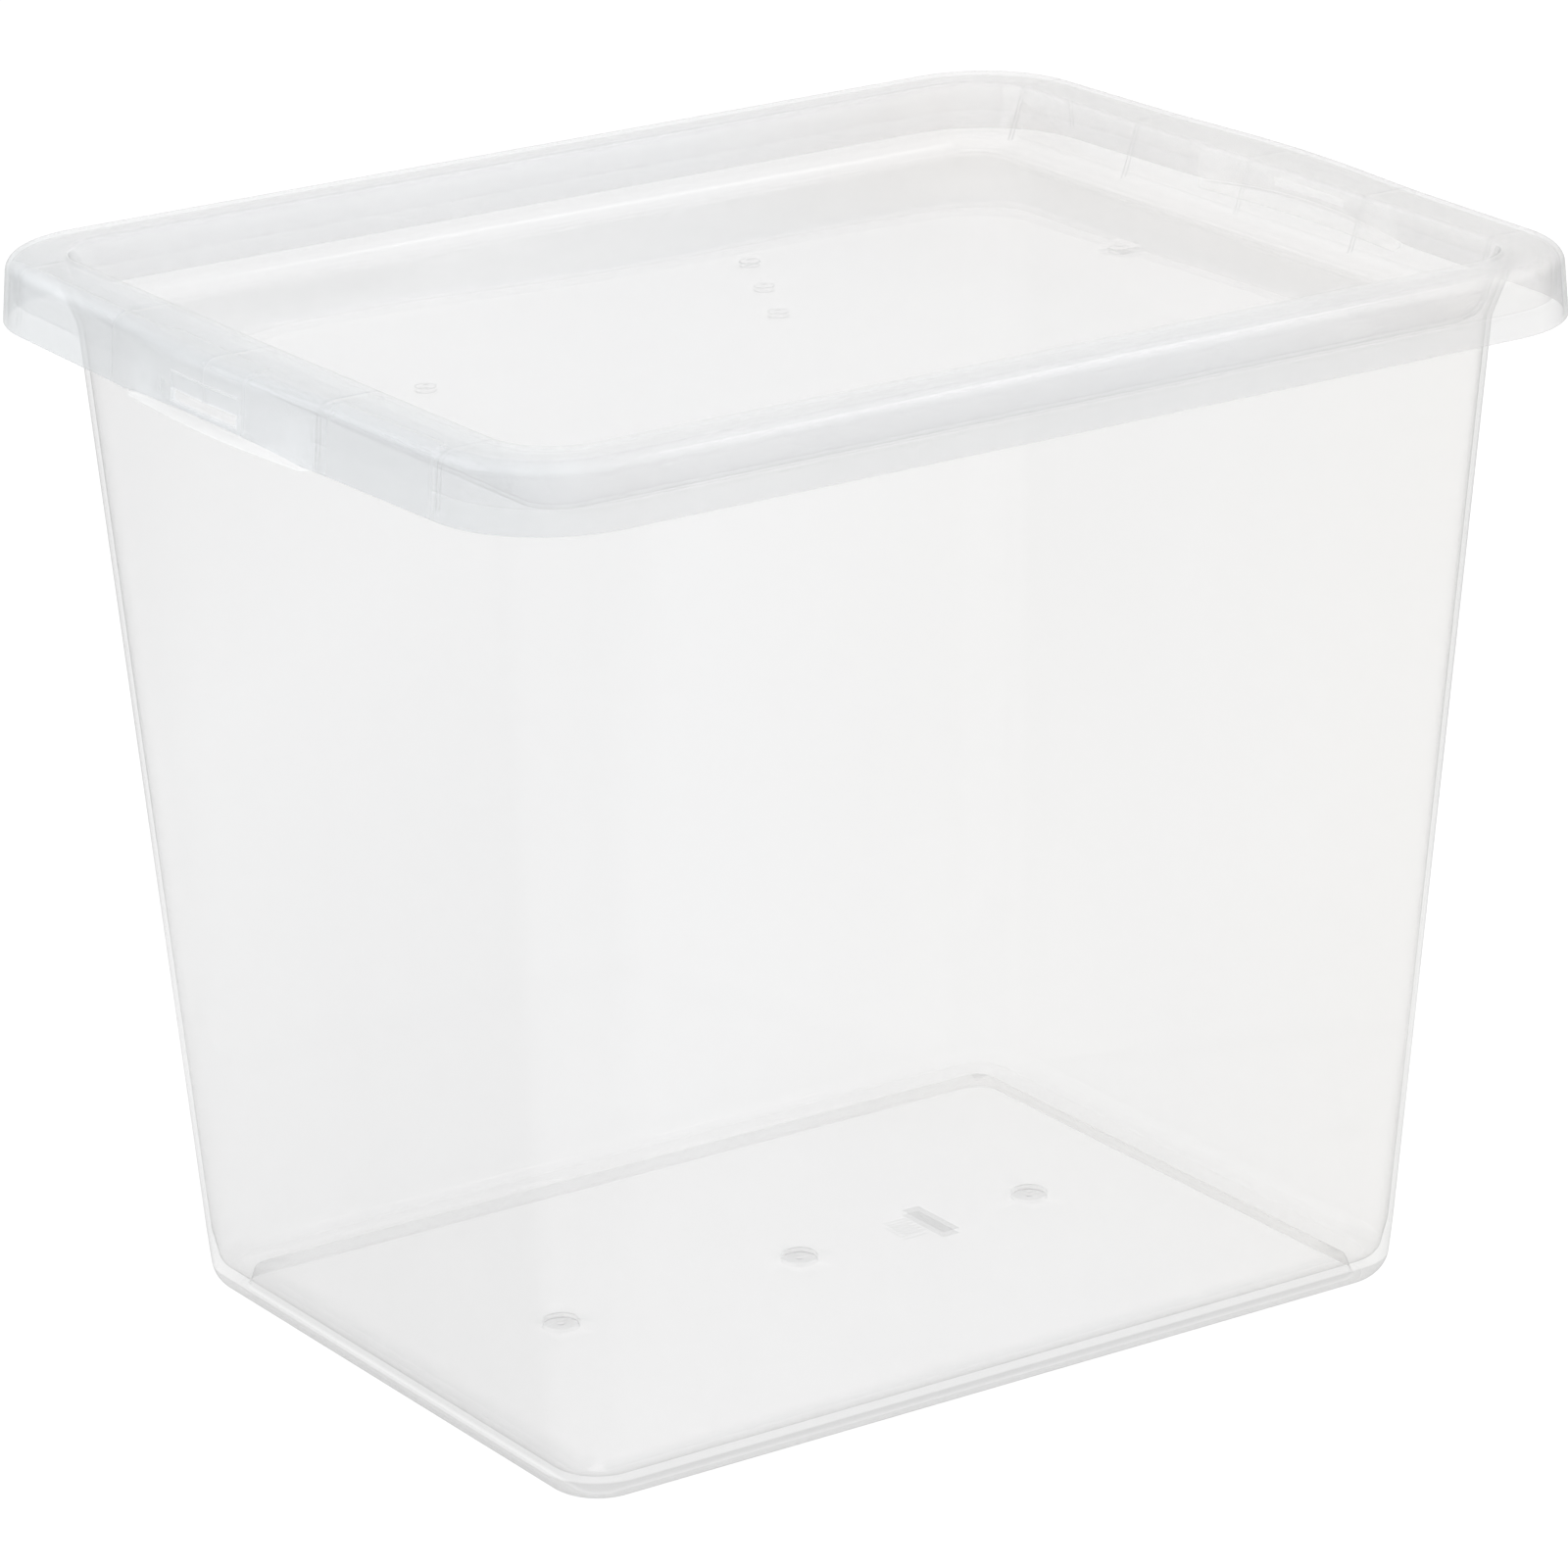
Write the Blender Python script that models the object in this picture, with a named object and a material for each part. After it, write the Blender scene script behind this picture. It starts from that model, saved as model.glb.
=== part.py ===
"""Stackable storage bin: one drafted tub and one recessed lift-off lid.

Frame: origin on the floor under the centre of the bin, +X along the long
side, +Y across, +Z up. Lengths below are millimetres; meshes are metres.
Both pieces are thin mouldings, built as closed skins of stacked rings.
"""
import math

import bmesh
import bpy
from mathutils import Matrix, Vector

MM = 0.001

# ---------------------------------------------------------------- dimensions
HEIGHT = 499.3           # overall, to the top of the lid flange

# Lid outline, half sizes and corner radius at the top of the skirt
LID_HALF_X, LID_HALF_Y, LID_R = 290.8, 233.0, 55.0
LID_T = 2.0              # lid wall
EDGE_R = 7.7             # rounded top outer edge
EDGE_Z = HEIGHT - EDGE_R           # where the skirt starts below it
SKIRT_Z = 468.7          # bottom edge of the skirt
SKIRT_FLARE = 1.9        # outward reach of the skirt at its bottom edge
ARCH_HALF, ARCH_RISE = 76.0, 4.4   # skirt edge lifts over each end grip

# Outward crown of the short ends
CROWN_LINEAR, CROWN_SPAN = 5.7, 190.0   # straight part, zero at |y| = span
CROWN_MIDDLE = 2.5                      # extra step over the grip
CROWN_STEP_START, CROWN_STEP_WIDTH = 90.0, 60.0
CROWN_MAX = CROWN_LINEAR + CROWN_MIDDLE

# Recess in the lid that takes the foot of the bin above
REC_HALF_X, REC_HALF_Y, REC_R = 262.0, 207.0, 31.0
REC_MIN_R = 12.0         # smallest corner radius of any recess ring
REC_BOW = 1.0            # crown of its short ends
REC_EDGE_R = 2.5         # rounding at the mouth
REC_ANGLE = math.radians(19.0)     # wall slope from vertical
REC_FILLET = 11.0        # between wall and panel
REC_TOP_OFF = -0.5       # wall offset at its top
REC_TOP_Z = HEIGHT - REC_EDGE_R + 0.2
REC_BOW_RISE = 4.0       # rings more than this above the panel are crowned
PANEL_Z = 468.7          # top face of the recessed panel

# Catch window in each end of the skirt, and the lead-in ramp above it
WINDOW_HALF, WINDOW_Z0, WINDOW_Z1 = 28.0, 475.0, 479.8
WINDOW_DEPTH = 3.1       # cutter reach inside the crowned outline
CUT_OUT = 6.0            # cutter reach outside it
RAMP_Z1, RAMP_DEPTH, RAMP_TOP_DEPTH = 487.6, 0.9, 0.15
RAMP_OVERLAP = 0.5       # ramp cutter starts this far below the window top

# Tub: half sizes and corner radius of the wall at z = 0
BASE_HALF_X, BASE_HALF_Y, BASE_R = 230.7, 169.7, 28.6
DRAFT_HEIGHT = 468.7     # height over which the draft is measured
DRAFT_X, DRAFT_Y = 31.35 / DRAFT_HEIGHT, 31.8 / DRAFT_HEIGHT
TOP_R_GAIN = 1.5         # corner radius gain over the same height
TUB_MIN_R = 9.0          # smallest corner radius of any tub ring
TUB_T = 2.4              # tub wall
FOOT_R = 15.0            # rounded bottom edge
FOOT_OUT = 1.0           # widest reach of that arc outside the z = 0 wall line
FLOOR_T = 2.5
FLOOR_RISE = 9.0         # floor stands this much above the foot ring
RISE_START, RISE_END = 27.0, 66.0  # insets between which the floor rises

# Rim and lip of the tub
FLARE_Z, FLARE_SLOPE = 466.0, 0.27  # wall flares from here up, round the recess
WALL_LEVELS = (120.0, 300.0, FLARE_Z)
RIM_Z, RIM_T = 496.9, 2.4           # top of the rim and its thickness
RIM_UNDER_Z = RIM_Z - RIM_T
UNDER_BEVEL_OUT, UNDER_BEVEL_DROP = 2.2, 2.0   # where wall meets rim underside
LIP_BEVEL = 3.0          # where rim underside meets the lip
MOUTH_BEVEL = 1.2        # inner edge of the rim top
MOUTH_DROP = 1.0         # depth below the rim top where the mouth is measured
SHOULDER_R = 5.0         # outer edge of the rim top
LIP_OFF = -3.4           # outer face of the lip, relative to the lid outline
LIP_IN = LIP_OFF - RIM_T
LIP_Z = 488.5            # bottom of the lip

# End grips: the lip drops, then reaches out under the skirt
GRIP_HALF = 72.0         # half width at full reach
GRIP_STEP = 3.0          # beyond it, the lip is back to its plain depth
GRIP_REACH_STEP = 2.0    # beyond it, the outward reach is gone
GRIP_Z = 465.5           # bottom of the grip
GRIP_OUT = 1.4           # outer face, relative to the lid outline
GRIP_TOP_Z = SKIRT_Z - 0.6         # clearance under the skirt, before arching

# Lip profile from the inner face, round the foot, to the outer face.
# Plain offset and z, then offset and z on a grip, and whether the grip
# height follows the arch of the skirt.
LIP_PROFILE = (
    (LIP_IN, LIP_Z, LIP_IN, GRIP_Z + 1.0, False),
    (LIP_IN + 0.9, LIP_Z, LIP_IN + 0.9, GRIP_Z, False),
    (LIP_OFF - 0.6, LIP_Z, GRIP_OUT - 1.0, GRIP_Z, False),
    (LIP_OFF, LIP_Z + 0.6, GRIP_OUT, GRIP_Z + 1.0, False),
    (LIP_OFF, LIP_Z + 0.9, GRIP_OUT, GRIP_TOP_Z - 0.2, True),
    (LIP_OFF, LIP_Z + 1.2, LIP_OFF + 0.7, GRIP_TOP_Z, True),
    (LIP_OFF, LIP_Z + 1.5, LIP_OFF, GRIP_TOP_Z + 0.8, True),
)

# Bottom edge of the lid skirt, outside to inside: offset, z
HEM_PROFILE = (
    (SKIRT_FLARE, SKIRT_Z + 0.5),
    (SKIRT_FLARE - 0.5, SKIRT_Z),
    (SKIRT_FLARE - LID_T + 0.4, SKIRT_Z),
    (SKIRT_FLARE - LID_T, SKIRT_Z + 0.5),
)

# Moulding gate discs sunk in the floor
GATE_PITCH = 132.5
GATE_R, GATE_DEPTH = 9.0, 0.7
GATE_CUT_UP = 5.0        # cutter reach above the floor
GATE_SEGMENTS = 24

# Ring resolution
HALF_MARKS = (18.0, 36.0, 54.0, GRIP_HALF, GRIP_HALF + GRIP_REACH_STEP,
              GRIP_HALF + GRIP_STEP, 90.0, 110.0)     # y along a short end
END_MARKS = (*(-y for y in reversed(HALF_MARKS)), 0.0, *HALF_MARKS)
MARKS_HALF_SPAN = 125.0  # marks shrink on ends with a shorter straight half
LONG_STEPS, CORNER_STEPS = 6, 8

# Profile resolution
ARC_STEPS, FLOOR_STEPS, SHOULDER_STEPS = 5, 5, 3

SHARP_ANGLE = math.radians(32.0)   # edges at or above this are shaded sharp


# --------------------------------------------------------------- plan shapes
def clamp(t):
    return min(1.0, max(0.0, t))


def smooth(t):
    t = clamp(t)
    return t * t * (3.0 - 2.0 * t)


def crown(y):
    """Outward crown of the short ends at distance |y| from the middle."""
    y = abs(y)
    return (CROWN_LINEAR * max(0.0, 1.0 - y / CROWN_SPAN)
            + CROWN_MIDDLE * smooth((CROWN_STEP_START - y) / CROWN_STEP_WIDTH))


def arch(y):
    """Lift of the skirt edge; zero everywhere but the middle of the ends."""
    return ARCH_RISE * max(0.0, 1.0 - (y / ARCH_HALF) ** 2)


def outline(half_x, half_y, radius, bow=0.0):
    """Rounded rectangle, counter-clockwise from the +X end, fixed count.

    bow scales the crown of the short ends.
    """
    flat_x, flat_y = half_x - radius, half_y - radius
    scale = min(1.0, flat_y / MARKS_HALF_SPAN)

    def corner(side_x, start):
        angles = [0.5 * math.pi * (start + i / CORNER_STEPS)
                  for i in range(1, CORNER_STEPS)]
        return [(side_x * flat_x + radius * math.cos(a),
                 flat_y + radius * math.sin(a)) for a in angles]

    # +X end, corner, +Y side, corner; a half turn gives the rest
    half = [(half_x, y) for y in (-flat_y, *(m * scale for m in END_MARKS), flat_y)]
    half += corner(1.0, 0.0)
    half += [(flat_x - 2.0 * flat_x * i / LONG_STEPS, half_y)
             for i in range(LONG_STEPS + 1)]
    half += corner(-1.0, 1.0)
    points = half + [(-x, -y) for x, y in half]
    return [(x + math.copysign(bow * crown(y), x), y) for x, y in points]


def lid_outline(off):
    """Lid outline moved outward by off."""
    return outline(LID_HALF_X + off, LID_HALF_Y + off, LID_R + off, 1.0)


# --------------------------------------------------------------------- rings
def lid_ring(off, z, arched=False):
    """Ring parallel to the lid outline, lifted over the grips if arched."""
    return [(x, y, z + arch(y) if arched else z) for x, y in lid_outline(off)]


def recess_ring(off, z, bowed=True):
    """Ring parallel to the mouth of the lid recess."""
    points = outline(REC_HALF_X + off, REC_HALF_Y + off, max(REC_R + off, REC_MIN_R),
                     REC_BOW / CROWN_MAX if bowed else 0.0)
    return [(x, y, z) for x, y in points]


def tub_ring(off, z, wall_z):
    """Ring at z, parallel to the outer wall line the tub has at wall_z."""
    radius = BASE_R + TOP_R_GAIN * wall_z / DRAFT_HEIGHT + off
    points = outline(BASE_HALF_X + DRAFT_X * wall_z + off,
                     BASE_HALF_Y + DRAFT_Y * wall_z + off,
                     max(radius, TUB_MIN_R))
    return [(x, y, z) for x, y in points]


def lip_ring(off, z, grip_off, grip_z, arched):
    """Ring of the rim lip, blended from plain to grip position by y."""
    ring = []
    for (x, y), (grip_x, grip_y) in zip(lid_outline(off), lid_outline(grip_off)):
        drop = clamp((GRIP_HALF + GRIP_STEP - abs(y)) / (GRIP_STEP - GRIP_REACH_STEP))
        reach = clamp((GRIP_HALF + GRIP_REACH_STEP - abs(y)) / GRIP_REACH_STEP)
        target_z = grip_z + (arch(grip_y if False else y) if arched else 0.0)
        ring.append((x + reach * (grip_x - x), y + reach * (grip_y - y),
                     z + drop * (target_z - z)))
    return ring


def quarter_arc(radius, off, z, steps):
    """(offset, z) points from (off, z), turning up and inward."""
    angles = [math.radians(90.0 * i / steps) for i in range(steps + 1)]
    return [(off - radius * (1.0 - math.cos(a)), z + radius * math.sin(a))
            for a in angles]


# -------------------------------------------------------------- mesh helpers
def skin(name, rings):
    """Closed mesh from a stack of equal rings with a flat cap at each end."""
    bm = bmesh.new()
    rows = [[bm.verts.new((x * MM, y * MM, z * MM)) for x, y, z in ring]
            for ring in rings]
    count = len(rows[0])
    for low, high in zip(rows, rows[1:]):
        for i in range(count):
            j = (i + 1) % count
            bm.faces.new((low[i], low[j], high[j], high[i]))
    bm.faces.new(list(reversed(rows[0])))
    bm.faces.new(rows[-1])
    bmesh.ops.recalc_face_normals(bm, faces=bm.faces)
    mesh = bpy.data.meshes.new(name)
    bm.to_mesh(mesh)
    bm.free()
    obj = bpy.data.objects.new(name, mesh)
    bpy.context.scene.collection.objects.link(obj)
    return obj


def carve(obj, cutters):
    """Subtract cutters from obj, then remove them."""
    for cutter in cutters:
        mod = obj.modifiers.new("cut", "BOOLEAN")
        mod.operation = "DIFFERENCE"
        mod.solver = "EXACT"
        mod.object = cutter
    depsgraph = bpy.context.evaluated_depsgraph_get()
    mesh = bpy.data.meshes.new_from_object(obj.evaluated_get(depsgraph))
    obj.modifiers.clear()
    old = obj.data
    obj.data = mesh
    bpy.data.meshes.remove(old)
    for cutter in cutters:
        data = cutter.data
        bpy.data.objects.remove(cutter, do_unlink=True)
        bpy.data.meshes.remove(data)


def finish(obj, material):
    """Material, and smooth shading broken only at real edges."""
    obj.data.name = obj.name
    obj.data.materials.clear()
    obj.data.materials.append(material)
    bm = bmesh.new()
    bm.from_mesh(obj.data)
    for face in bm.faces:
        face.smooth = True
        face.material_index = 0
    for edge in bm.edges:
        edge.smooth = (len(edge.link_faces) == 2
                       and edge.calc_face_angle(0.0) < SHARP_ANGLE)
    bm.to_mesh(obj.data)
    bm.free()


def plastic(name, colour, roughness, alpha):
    mat = bpy.data.materials.new(name)
    mat.use_nodes = True
    inputs = mat.node_tree.nodes["Principled BSDF"].inputs
    inputs["Base Color"].default_value = (*colour, 1.0)
    inputs["Roughness"].default_value = roughness
    inputs["Metallic"].default_value = 0.0
    inputs["Alpha"].default_value = alpha
    return mat


# ----------------------------------------------------------------------- tub
def tub_bottom(radius, low_z):
    """One face of the bottom, from the raised floor out to the wall."""
    rings = []
    for i in range(FLOOR_STEPS + 1):
        t = i / FLOOR_STEPS
        off = -RISE_END + (RISE_END - RISE_START) * t
        rings.append(tub_ring(off, low_z + FLOOR_RISE * smooth(1.0 - t), 0.0))
    # rounded edge, ending tangent to the drafted wall
    last = 0.5 * math.pi - math.atan(DRAFT_X)
    for i in range(ARC_STEPS + 1):
        angle = last * i / ARC_STEPS
        rings.append(tub_ring(FOOT_OUT - FOOT_R + radius * math.sin(angle),
                              low_z + radius * (1.0 - math.cos(angle)), 0.0))
    return rings


def gate_cutter(centre_x):
    floor_z = FLOOR_T + FLOOR_RISE
    angles = [2.0 * math.pi * i / GATE_SEGMENTS for i in range(GATE_SEGMENTS)]
    return skin("gate", [
        [(centre_x + GATE_R * math.cos(a), GATE_R * math.sin(a), z) for a in angles]
        for z in (floor_z - GATE_DEPTH, floor_z + GATE_CUT_UP)])


def build_tub():
    # outside: bottom, drafted wall, flare up to the rim
    rings = tub_bottom(FOOT_R, 0.0)
    rings += [tub_ring(0.0, z, z) for z in WALL_LEVELS]
    bevel_z = RIM_UNDER_Z - UNDER_BEVEL_DROP
    flare = FLARE_SLOPE * (bevel_z - FLARE_Z)
    rings.append(tub_ring(flare, bevel_z, bevel_z))
    rings.append(tub_ring(flare + UNDER_BEVEL_OUT, RIM_UNDER_Z, RIM_UNDER_Z))
    # underside of the rim, lip or grip, rounded shoulder
    rings.append(lid_ring(LIP_IN - LIP_BEVEL, RIM_UNDER_Z))
    rings.append(lid_ring(LIP_IN, RIM_UNDER_Z - LIP_BEVEL))
    rings += [lip_ring(*row) for row in LIP_PROFILE]
    rings += [lid_ring(off, z) for off, z in
              quarter_arc(SHOULDER_R, LIP_OFF, RIM_Z - SHOULDER_R, SHOULDER_STEPS)]
    # rim top to the mouth, then down the inside
    mouth = FLARE_SLOPE * (RIM_Z - MOUTH_DROP - FLARE_Z) - TUB_T
    rings.append(tub_ring(mouth + MOUTH_BEVEL, RIM_Z, RIM_Z))
    rings.append(tub_ring(mouth, RIM_Z - MOUTH_BEVEL, RIM_Z - MOUTH_BEVEL))
    rings += [tub_ring(-TUB_T, z, z) for z in reversed(WALL_LEVELS)]
    rings += reversed(tub_bottom(FOOT_R - TUB_T, FLOOR_T))
    tub = skin("bin_body", rings)
    carve(tub, [gate_cutter(i * GATE_PITCH) for i in (-1, 0, 1)])
    return tub


# ----------------------------------------------------------------------- lid
def recess_fillet(radius):
    """Rings from the panel up to the recess wall, about a shared centre."""
    wall_z = PANEL_Z + REC_FILLET * (1.0 - math.sin(REC_ANGLE))
    wall_off = REC_TOP_OFF - math.tan(REC_ANGLE) * (REC_TOP_Z - wall_z)
    centre_off = wall_off - REC_FILLET * math.cos(REC_ANGLE)
    rings = []
    for i in range(ARC_STEPS + 1):
        angle = (0.5 * math.pi - REC_ANGLE) * i / ARC_STEPS
        z = PANEL_Z + REC_FILLET - radius * math.cos(angle)
        rings.append(recess_ring(centre_off + radius * math.sin(angle), z,
                                 bowed=z > PANEL_Z + REC_BOW_RISE))
    return rings


def skirt_x(z):
    """Outer face of the skirt at z, in the middle of the +X end."""
    return LID_HALF_X + CROWN_MAX + SKIRT_FLARE * (EDGE_Z - z) / (EDGE_Z - SKIRT_Z)


def window_cutters(side):
    """Catch window and its sloped lead-in; side is +1 or -1 along X."""
    inner = LID_HALF_X + CROWN_MAX - WINDOW_DEPTH
    outer = LID_HALF_X + CROWN_MAX + CUT_OUT
    ramp_z0 = WINDOW_Z1 - RAMP_OVERLAP
    window = ((inner, WINDOW_Z0), (outer, WINDOW_Z0),
              (outer, WINDOW_Z1), (inner, WINDOW_Z1))
    ramp = ((skirt_x(WINDOW_Z1) - RAMP_DEPTH, ramp_z0), (outer, ramp_z0),
            (outer, RAMP_Z1), (skirt_x(RAMP_Z1) - RAMP_TOP_DEPTH, RAMP_Z1))
    return [skin("window", [[(side * x, y, z) for x, z in profile]
                            for y in (-WINDOW_HALF, WINDOW_HALF)])
            for profile in (window, ramp)]


def build_lid():
    # top face: panel, recess wall, flange, rounded edge
    rings = recess_fillet(REC_FILLET)
    rings.append(recess_ring(REC_TOP_OFF, REC_TOP_Z))
    rings.append(recess_ring(REC_TOP_OFF + 0.6, HEIGHT - 0.8))
    rings.append(recess_ring(REC_TOP_OFF + REC_EDGE_R, HEIGHT))
    rings += [lid_ring(off, z) for off, z in
              reversed(quarter_arc(EDGE_R, 0.0, EDGE_Z, ARC_STEPS))]
    # skirt edge, then the underside back to the panel
    rings += [lid_ring(off, z, arched=True) for off, z in HEM_PROFILE]
    rings += [lid_ring(off, z) for off, z in
              quarter_arc(EDGE_R - LID_T, -LID_T, EDGE_Z, ARC_STEPS)]
    under_off = REC_TOP_OFF + LID_T / math.cos(REC_ANGLE)
    rings.append(recess_ring(under_off + 1.4, HEIGHT - LID_T))
    rings.append(recess_ring(under_off - 0.4, REC_TOP_Z - 1.6))
    rings += reversed(recess_fillet(REC_FILLET + LID_T))
    lid = skin("lid", rings)
    carve(lid, window_cutters(1.0) + window_cutters(-1.0))
    return lid


# --------------------------------------------------------------------- build
for old_object in list(bpy.data.objects):
    bpy.data.objects.remove(old_object, do_unlink=True)

finish(build_tub(), plastic("clear_tub", colour=(0.90, 0.91, 0.91),
                            roughness=0.18, alpha=0.45))
cover = build_lid()
finish(cover, plastic("clear_lid", colour=(0.90, 0.92, 0.93),
                      roughness=0.20, alpha=0.50))

# the lid lifts straight up: its origin sits on the middle of its panel
shift = Vector((0.0, 0.0, PANEL_Z * MM))
cover.data.transform(Matrix.Translation(-shift))
cover.location = shift
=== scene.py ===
import functools
import math

import bmesh
import bpy
import numpy as np
from mathutils import Matrix, Vector
from mathutils.geometry import delaunay_2d_cdt


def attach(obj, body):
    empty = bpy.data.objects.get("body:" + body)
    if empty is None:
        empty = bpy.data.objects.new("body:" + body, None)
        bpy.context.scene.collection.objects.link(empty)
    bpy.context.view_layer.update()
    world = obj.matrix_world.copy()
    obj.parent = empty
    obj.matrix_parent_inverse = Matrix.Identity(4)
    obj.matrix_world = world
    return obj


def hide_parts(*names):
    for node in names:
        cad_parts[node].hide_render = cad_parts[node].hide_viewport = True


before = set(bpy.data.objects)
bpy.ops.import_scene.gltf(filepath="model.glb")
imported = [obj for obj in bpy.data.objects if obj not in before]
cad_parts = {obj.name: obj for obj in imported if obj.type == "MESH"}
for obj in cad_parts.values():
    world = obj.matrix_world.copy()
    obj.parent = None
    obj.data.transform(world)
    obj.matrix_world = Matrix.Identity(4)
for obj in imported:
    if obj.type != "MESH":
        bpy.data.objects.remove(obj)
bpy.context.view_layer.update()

# =========================================================== measures (mm)
MM = 0.001
TOP_Z = 499.3

# lid outline (half sizes) and the outward crown of its short ends
LID_HALF_X, LID_HALF_Y, LID_R = 290.8, 233.0, 55.0
CROWN_LINEAR, CROWN_MIDDLE, CROWN_SPAN = 5.7, 2.5, 190.0
CROWN_MAX = CROWN_LINEAR + CROWN_MIDDLE
LID_T = 2.0
# lid skirt: lower edge, outward set there, top edge rounding
SKIRT_Z, SKIRT_FLARE, EDGE_R = 468.7, 1.9, 7.7
# the lower edge rises in an arch over each grip, bending below HINGE_Z
ARCH_HALF, ARCH_RISE, HINGE_Z = 76.0, 4.4, 474.4
# recess in the lid: outline, crown of its ends, edge rounding, wall lean
REC_HALF_X, REC_HALF_Y, REC_R = 262.0, 207.0, 31.0
REC_BOW, LEAST_BOW = 1.0, 1e-9
REC_EDGE_R, REC_FILLET = 2.5, 11.0
REC_LEAN_DEG = 19.0
REC_LEAN = math.radians(REC_LEAN_DEG)
REC_SLOPE = math.tan(REC_LEAN)
PANEL_Z = 468.7
# slot in the end skirt, and the sloping dent above it
WIN_HALF, WIN_Z0, WIN_Z1, RAMP_Z1, RAMP_DEPTH = 28.0, 475.0, 479.8, 487.6, 1.1

# tub outline at z = 0 and its growth per millimetre of height
BASE_HALF_X, BASE_HALF_Y, BASE_R = 230.7, 169.7, 28.6
DRAFT_HEIGHT = 468.7
DRAFT_X, DRAFT_Y, TOP_R_GAIN = 31.35 / DRAFT_HEIGHT, 31.8 / DRAFT_HEIGHT, 1.5
# tub wall, foot ring and raised floor
TUB_T, FOOT_R, FLOOR_T, FLOOR_RISE = 2.4, 15.0, 2.5, 9.0
FOOT_IN, STEP_IN, INNER_R = 15.5, 20.0, 8.0
FLOOR_TOP = FLOOR_RISE + FLOOR_T
# tub rim: the wall flares out, runs flat and hangs down in a lip
RIM_Z, RIM_T = 496.9, 2.4
FLARE_Z0, FLARE_EASE, FLARE_SLOPE = 464.0, 7.0, 0.3
LIP_OFF, LIP_Z = -3.4, 479.0
# grips: the lip reaches lower and further out in the middle of each end
GRIP_HALF, GRIP_Z, GRIP_OUT, GAP = 72.0, 465.5, 1.4, 0.6

# round marks, x and y of their centres
GATES = ((-132.5, 0.0), (0.0, 0.0), (132.5, 0.0))
LID_MARKS = ((-188.0, 0.0), (188.0, 0.0), (-2.0, 0.0), (17.3, 40.0),
             (36.5, 81.0))
# fine break lines across the short ends of the lid, at +-y
CREASES, CREASE_DEPTH, CREASE_HALF = (0.0, 88.0, 178.0), 0.13, 0.75


def smooth(amount):
    amount = np.clip(amount, 0.0, 1.0)
    return amount * amount * (3.0 - 2.0 * amount)


def above(value, start, over):
    """0 up to start, rising smoothly to 1 over the given distance."""
    return smooth((value - start) / over)


def below(value, end, over):
    """0 from end upwards, rising smoothly to 1 the given distance below."""
    return smooth((end - value) / over)


def quarter(steps, first=0):
    """Angles from 0 to 90 degrees, starting at step number first."""
    return [math.radians(90.0 * i / steps) for i in range(first, steps + 1)]


# ================================================================ stations
LONG_STEPS, CORNER_STEPS = 26, 18
MARKS_END, MARKS_SCALE = 124.0, 130.0
LID_STRAIGHT = LID_HALF_Y - LID_R


def half_marks():
    """Stations on +y: an even pitch, giving way to those at details."""
    even = np.arange(6.0, 126.0, 6.0)
    exact = [0.45, 0.9, 27.7, 28.0, 28.4, 37.1, 37.5, 37.9, 72.0, 72.6, 73.2,
             74.0, 74.3, 75.0, 76.0, 87.5, 88.0, 88.5]
    kept = [y for y in even if min(abs(y - e) for e in exact) > 1.5]
    return sorted(kept + exact)


HALF_MARKS = half_marks()
MARKS = np.array([-y for y in reversed(HALF_MARKS)] + [0.0] + HALF_MARKS)
FAR_MARKS = np.array([130.0, 140.0, 150.0, 160.0, 168.0, 172.0])


def side_ys(half):
    """Stations along a short end whose straight part reaches +-half."""
    scale = min(1.0, half / MARKS_SCALE)
    marks_end = MARKS_END * scale
    share = (FAR_MARKS - MARKS_END) / (LID_STRAIGHT - MARKS_END)
    far = marks_end + (half - marks_end) * share
    last = half - min(0.6, 0.02 * half)
    return np.concatenate([[-half, -last], -far[::-1], MARKS * scale, far,
                           [last, half]])


def outline(half_x, half_y, radius, bow=0.0):
    """Rounded rectangle, anticlockwise from the -y end of the +x side.

    bow scales the outward crown of the two short ends.
    """
    flat_x, flat_y = half_x - radius, half_y - radius
    ys = side_ys(flat_y)
    turn = 0.5 * np.pi * np.arange(1, CORNER_STEPS) / CORNER_STEPS
    run = np.arange(LONG_STEPS + 1) / LONG_STEPS

    def end(x, ys):
        return np.stack([np.full(len(ys), x), ys], 1)

    def side(xs, y):
        return np.stack([xs, np.full(len(xs), y)], 1)

    def corner(sign_x, sign_y, start):
        angle = start + turn
        return np.stack([sign_x * flat_x + radius * np.cos(angle),
                         sign_y * flat_y + radius * np.sin(angle)], 1)

    points = np.concatenate([
        end(half_x, ys), corner(1, 1, 0.0),
        side(flat_x * (1 - 2 * run), half_y), corner(-1, 1, 0.5 * np.pi),
        end(-half_x, ys[::-1]), corner(-1, -1, np.pi),
        side(flat_x * (2 * run - 1), -half_y), corner(1, -1, 1.5 * np.pi)])
    if bow:
        from_middle = np.abs(points[:, 1])
        ramp = np.clip((90.0 - from_middle) / 60.0, 0.0, 1.0)
        crown = (CROWN_LINEAR * np.maximum(0.0, 1.0 - from_middle / CROWN_SPAN)
                 + CROWN_MIDDLE * (0.75 * ramp + 0.25 * smooth(ramp)))
        points[:, 0] += np.sign(points[:, 0]) * bow * crown
    return points


def lid_outline(off):
    return outline(LID_HALF_X + off, LID_HALF_Y + off, LID_R + off, 1.0)


# True for the ring vertices on the two short ends; each half of a ring
# starts with one of them.
RING_COUNT = len(lid_outline(0.0))
IS_END = np.arange(RING_COUNT) % (RING_COUNT // 2) < len(side_ys(LID_STRAIGHT))


def with_z(points, z):
    heights = np.broadcast_to(z, (len(points),))
    return np.concatenate([points, heights[:, None]], 1)


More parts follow.
